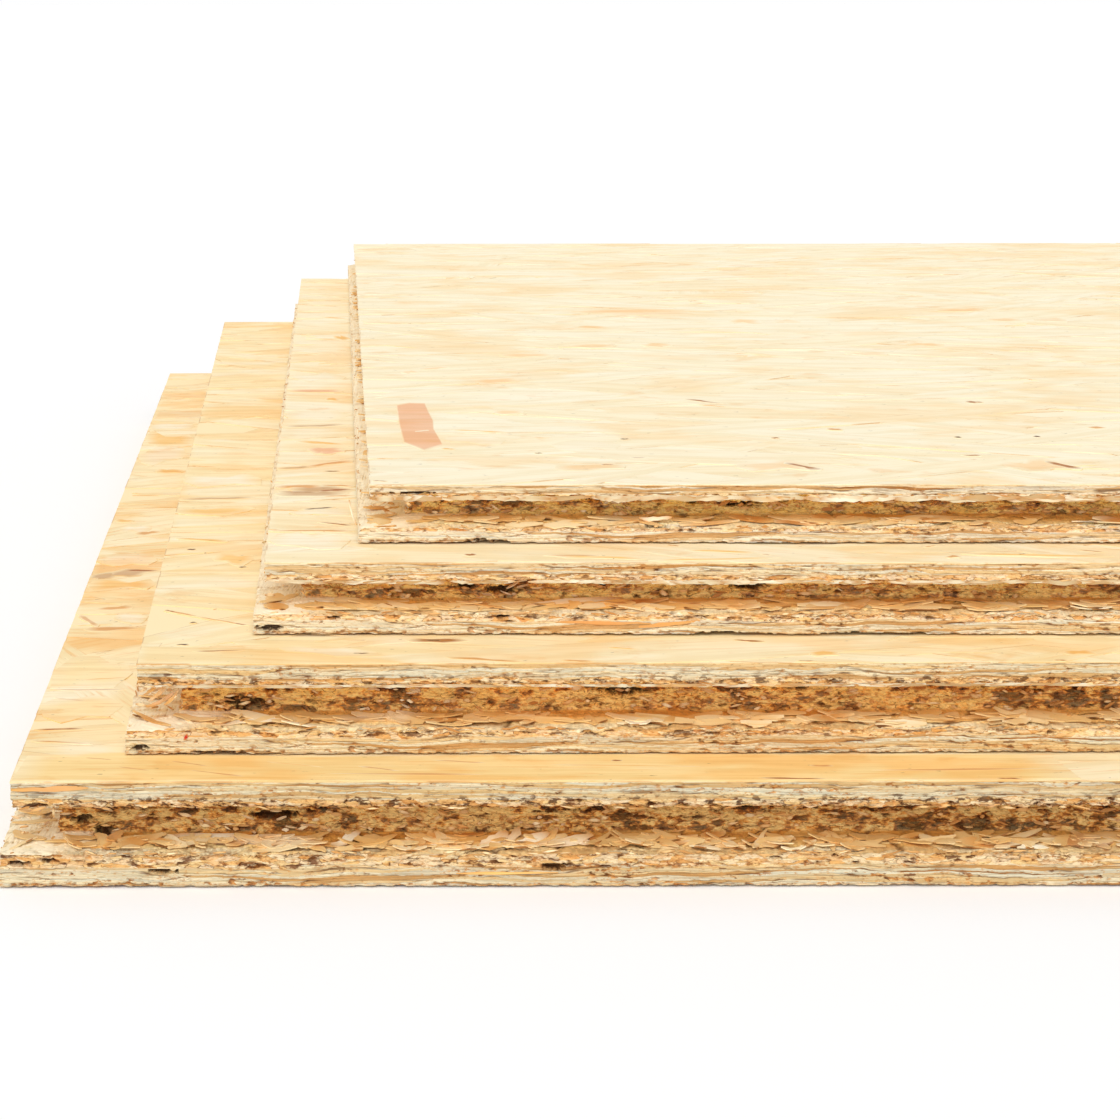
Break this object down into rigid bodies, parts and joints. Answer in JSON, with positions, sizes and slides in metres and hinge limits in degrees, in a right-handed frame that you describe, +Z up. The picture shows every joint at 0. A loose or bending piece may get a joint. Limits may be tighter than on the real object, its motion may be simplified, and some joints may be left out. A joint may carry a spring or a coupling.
{
  "type": "stack of osb panels",
  "caption": "Stepped stack of tongue-and-groove oriented strand board panels, in falling thickness, with grooved edges set back at front and left.",
  "frame": {"origin": "middle of the bottom panel's underside, between the edges of its top face", "axes": "+X along the panels' long edges, towards the tongued short edge; +Y across them, from the grooved long edge at the front to the tongued one at the back; +Z up through the stack"},
  "size_m": [2.6033, 0.7669, 0.0809],
  "materials": {
    "osb_bottom": "raw pressed strands, warm yellow, rough milled edges",
    "osb_lower_middle": "raw pressed strands, straw yellow, rough milled edges",
    "osb_upper_middle": "raw pressed strands, pale straw, rough milled edges",
    "osb_top": "raw pressed strands, very pale cream, rough milled edges"
  },
  "bodies": {
    "root": {"bottom_panel": "osb_bottom", "lower_middle_panel": "osb_lower_middle", "upper_middle_panel": "osb_upper_middle", "top_panel": "osb_top"}
  },
  "joints": []
}
